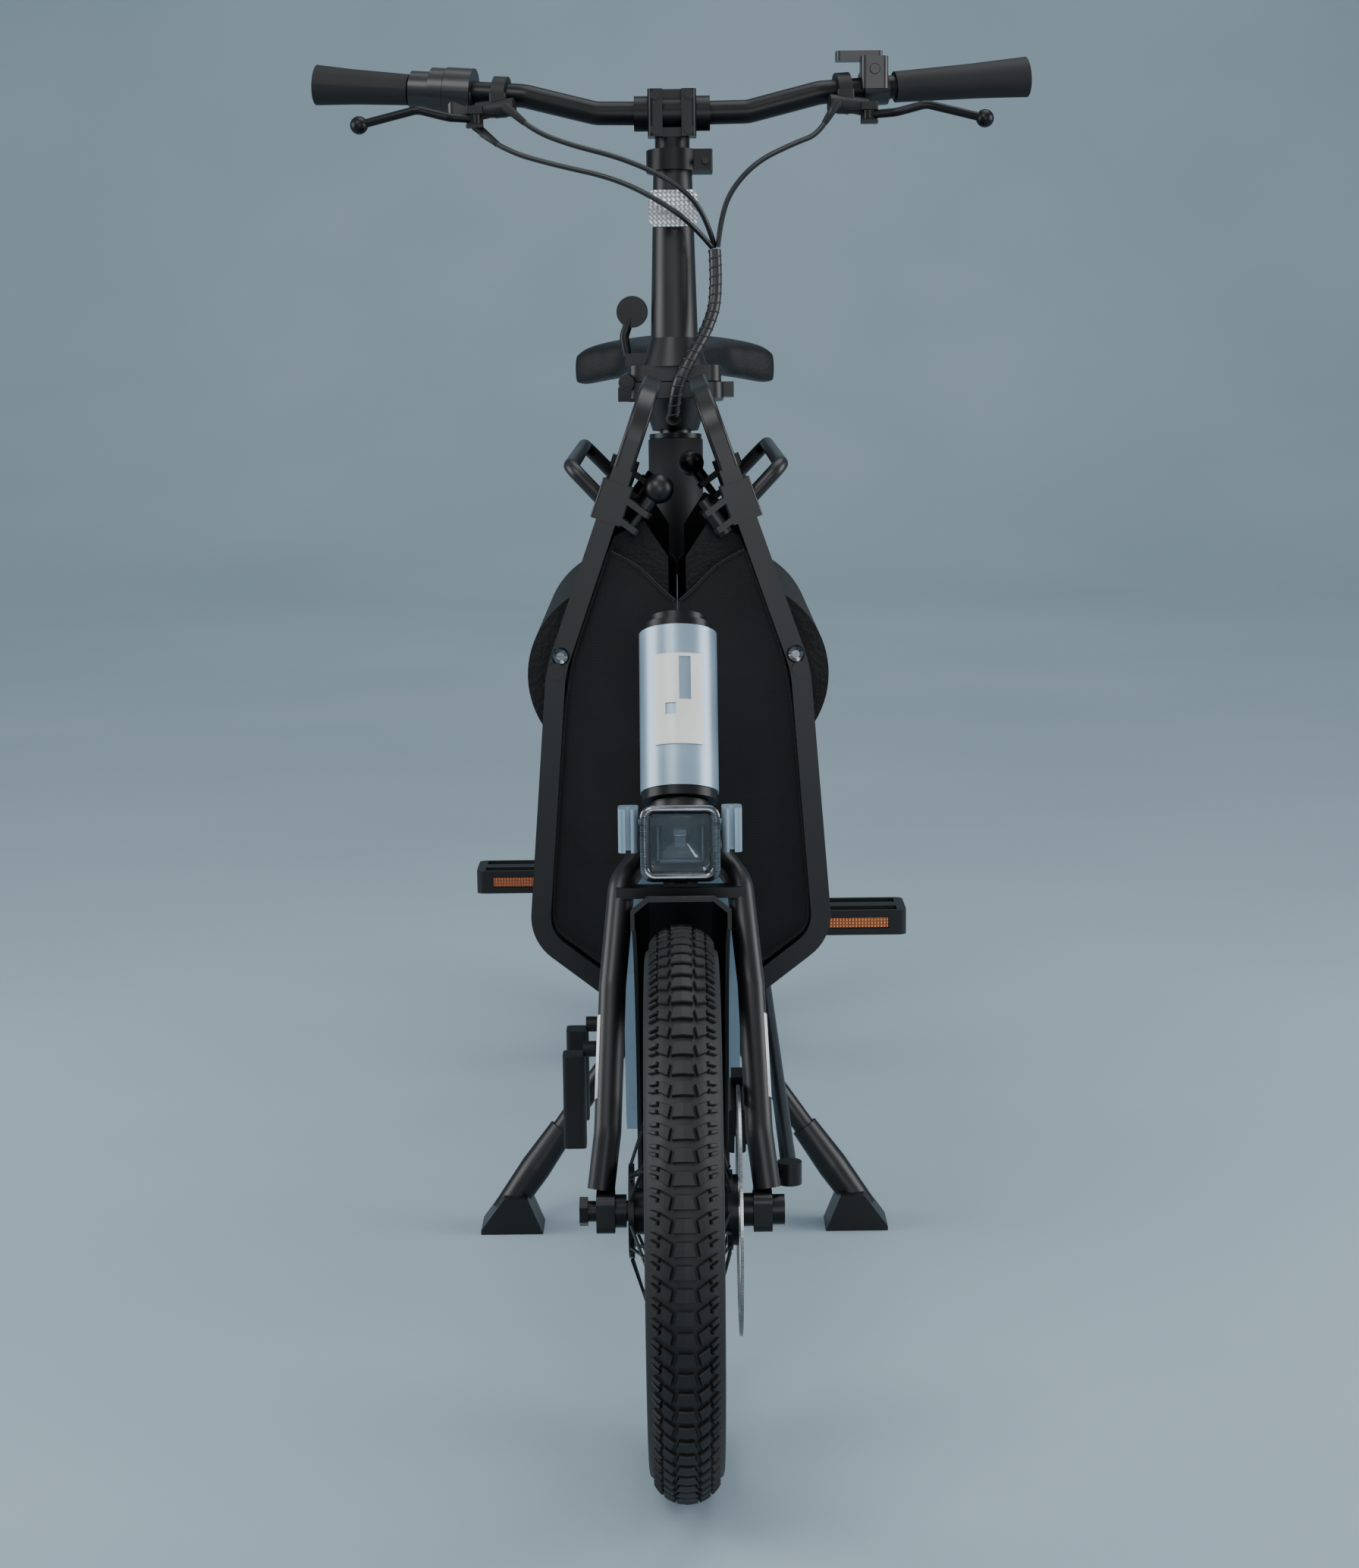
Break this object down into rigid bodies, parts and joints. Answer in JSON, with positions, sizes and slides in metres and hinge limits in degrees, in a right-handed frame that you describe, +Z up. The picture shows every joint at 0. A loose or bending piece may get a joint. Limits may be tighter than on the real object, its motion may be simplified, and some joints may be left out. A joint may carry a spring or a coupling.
{
  "type": "cargo bicycle",
  "caption": "Front-loading cargo bicycle with a folding two-half basket, folding handlepost, linkage steering, disc brakes and a two-leg stand.",
  "frame": {"origin": "on the ground under the middle of the bicycle", "axes": "+Z up, -Y forward, +X to the rider's left"},
  "size_m": [0.6872, 1.7935, 1.0904],
  "materials": {
    "blue_frame": "satin light blue-grey metallic lacquer",
    "black_metal": "satin black powder coat",
    "black_plastic": "moulded black plastic",
    "black_anodised": "black anodised aluminium",
    "steel": "bare steel",
    "badge": "satin pale plate",
    "lens": "clear lens",
    "tyre_rubber": "black tyre rubber",
    "grip_rubber": "soft black rubber",
    "saddle_cover": "smooth black saddle cover",
    "shell_foam": "textured black moulded shell",
    "fabric": "black woven fabric",
    "cable": "black cable sheath"
  },
  "bodies": {
    "frame": {"front_frame": "blue_frame", "rear_frame": "blue_frame", "basket_pivot_rod": "black_metal", "headset_bearings": "black_anodised", "head_badge": "badge", "motor": "black_plastic", "battery": "black_plastic", "seat_clamp": "black_metal", "rear_fender": "black_plastic", "rear_caliper": "black_anodised", "side_pads": "black_metal", "chain": "steel"},
    "steering": {"steering_column": "black_metal"},
    "post": {"handlepost": "black_metal", "reflector": "lens", "post_clamp": "black_metal", "cable_harness": "cable"},
    "latch": {"latch_lever": "black_metal"},
    "collar": {"collar_lever": "black_metal"},
    "bars": {"stem": "black_metal", "stem_faceplate": "black_metal", "handlebar": "black_metal", "grips": "grip_rubber", "control_housings": "black_plastic", "brake_bodies": "black_plastic", "brake_hose_right": "cable", "brake_hose_left": "cable", "shift_cable": "cable"},
    "twist": {"twist_shifter": "grip_rubber"},
    "lever_right": {"brake_lever_right": "black_metal"},
    "lever_left": {"brake_lever_left": "black_metal"},
    "button": {"power_button": "black_plastic"},
    "fork": {"fork": "black_metal", "front_axle": "steel", "front_fender": "black_plastic", "headlight_body": "black_plastic", "headlight_lens": "lens", "front_caliper": "black_anodised", "cable_guides": "blue_frame"},
    "front_wheel": {"front_tyre": "tyre_rubber", "front_rim": "black_metal", "front_hub": "black_anodised", "front_rotor": "steel"},
    "link": {"tie_rod": "black_metal"},
    "rear_wheel": {"rear_tyre": "tyre_rubber", "rear_rim": "black_metal", "rear_hub": "black_anodised"},
    "crank": {"crankset": "black_metal"},
    "pedal_left_body": {"pedal_left": "black_plastic"},
    "pedal_right_body": {"pedal_right": "black_plastic"},
    "seat": {"seatpost": "black_metal", "saddle": "saddle_cover"},
    "seat_lever": {"seat_clamp_lever": "black_metal"},
    "stand": {"kickstand": "black_metal"},
    "basket_left": {"basket_frame_left": "black_metal", "basket_shell_left": "shell_foam", "basket_fabric_left": "fabric"},
    "basket_right": {"basket_frame_right": "black_metal", "basket_shell_right": "shell_foam", "basket_fabric_right": "fabric"}
  },
  "joints": [
    {"name": "steer", "type": "hinge", "parent": "frame", "child": "steering", "pos_m": [0, 0.04878, 0.5], "axis": [0, -0.1045, -0.9945], "range_deg": [-30, 12]},
    {"name": "fork_steer", "type": "hinge", "parent": "frame", "child": "fork", "pos_m": [0, -0.509, 0.545], "axis": [0, -0.3939, -0.9191], "range_deg": [-30, 12]},
    {"name": "link_swing", "type": "hinge", "parent": "steering", "child": "link", "pos_m": [0.078, 0.01956, 0.222], "axis": [0.0334, -0.1045, -0.994], "range_deg": [-12, 30]},
    {"name": "handlepost_fold", "type": "hinge", "parent": "steering", "child": "post", "pos_m": [-0.046, 0.07852, 0.783], "axis": [0, -1, 0], "range_deg": [0, 90]},
    {"name": "fold_latch", "type": "hinge", "parent": "post", "child": "latch", "pos_m": [-0.043, 0.08073, 0.804], "axis": [0, -1, 0], "range_deg": [0, 100]},
    {"name": "collar_lever_turn", "type": "hinge", "parent": "post", "child": "collar", "pos_m": [0.031, 0.12317, 0.989], "axis": [0, 1, 0], "range_deg": [0, 90]},
    {"name": "handlebar_height", "type": "slide", "parent": "post", "child": "bars", "axis": [0, 0.1045, 0.9945], "range_m": [0, 0.09]},
    {"name": "twist_shift", "type": "hinge", "parent": "bars", "child": "twist", "pos_m": [-0.23, 0.1191, 1.05875], "axis": [-0.9815, 0.1767, 0.0736], "range_deg": [-60, 60]},
    {"name": "brake_right", "type": "hinge", "parent": "bars", "child": "lever_right", "pos_m": [-0.186, 0.08086, 1.02965], "axis": [0, 0, -1], "range_deg": [0, 14], "stiffness_Nm_per_rad": 2},
    {"name": "brake_left", "type": "hinge", "parent": "bars", "child": "lever_left", "pos_m": [0.186, 0.08086, 1.02965], "axis": [0, 0, 1], "range_deg": [0, 14], "stiffness_Nm_per_rad": 2},
    {"name": "power_press", "type": "slide", "parent": "bars", "child": "button", "axis": [0, 1, 0], "range_m": [0, 0.0012], "stiffness_N_per_m": 300},
    {"name": "front_wheel_spin", "type": "hinge", "parent": "fork", "child": "front_wheel", "pos_m": [0, -0.689, 0.207], "axis": [1, 0, 0], "continuous": true},
    {"name": "rear_wheel_spin", "type": "hinge", "parent": "frame", "child": "rear_wheel", "pos_m": [0, 0.621, 0.258], "axis": [1, 0, 0], "continuous": true},
    {"name": "crank_spin", "type": "hinge", "parent": "frame", "child": "crank", "pos_m": [0, 0.181, 0.262], "axis": [1, 0, 0], "continuous": true},
    {"name": "pedal_left_spin", "type": "hinge", "parent": "crank", "child": "pedal_left_body", "pos_m": [0, 0.0332, 0.26975], "axis": [1, 0, 0], "continuous": true},
    {"name": "pedal_right_spin", "type": "hinge", "parent": "crank", "child": "pedal_right_body", "pos_m": [0, 0.3288, 0.25425], "axis": [1, 0, 0], "continuous": true},
    {"name": "seat_height", "type": "slide", "parent": "frame", "child": "seat", "axis": [0, 0.4067, 0.9135], "range_m": [-0.05, 0.08]},
    {"name": "seat_lever_turn", "type": "hinge", "parent": "frame", "child": "seat_lever", "pos_m": [0.009, 0.34624, 0.556], "axis": [-1, 0, 0], "range_deg": [0, 120]},
    {"name": "stand_fold", "type": "hinge", "parent": "frame", "child": "stand", "pos_m": [0, -0.064, 0.178], "axis": [1, 0, 0], "range_deg": [0, 80]},
    {"name": "basket_left_open", "type": "hinge", "parent": "frame", "child": "basket_left", "pos_m": [0, -0.205, 0.26], "axis": [0, 1, 0], "range_deg": [0, 36]},
    {"name": "basket_right_open", "type": "hinge", "parent": "frame", "child": "basket_right", "pos_m": [0, -0.205, 0.26], "axis": [0, -1, 0], "range_deg": [0, 36]}
  ],
  "couplings": [
    {"joint": "fork_steer", "follows": "steer", "ratio": 1},
    {"joint": "link_swing", "follows": "steer", "ratio": -1}
  ]
}
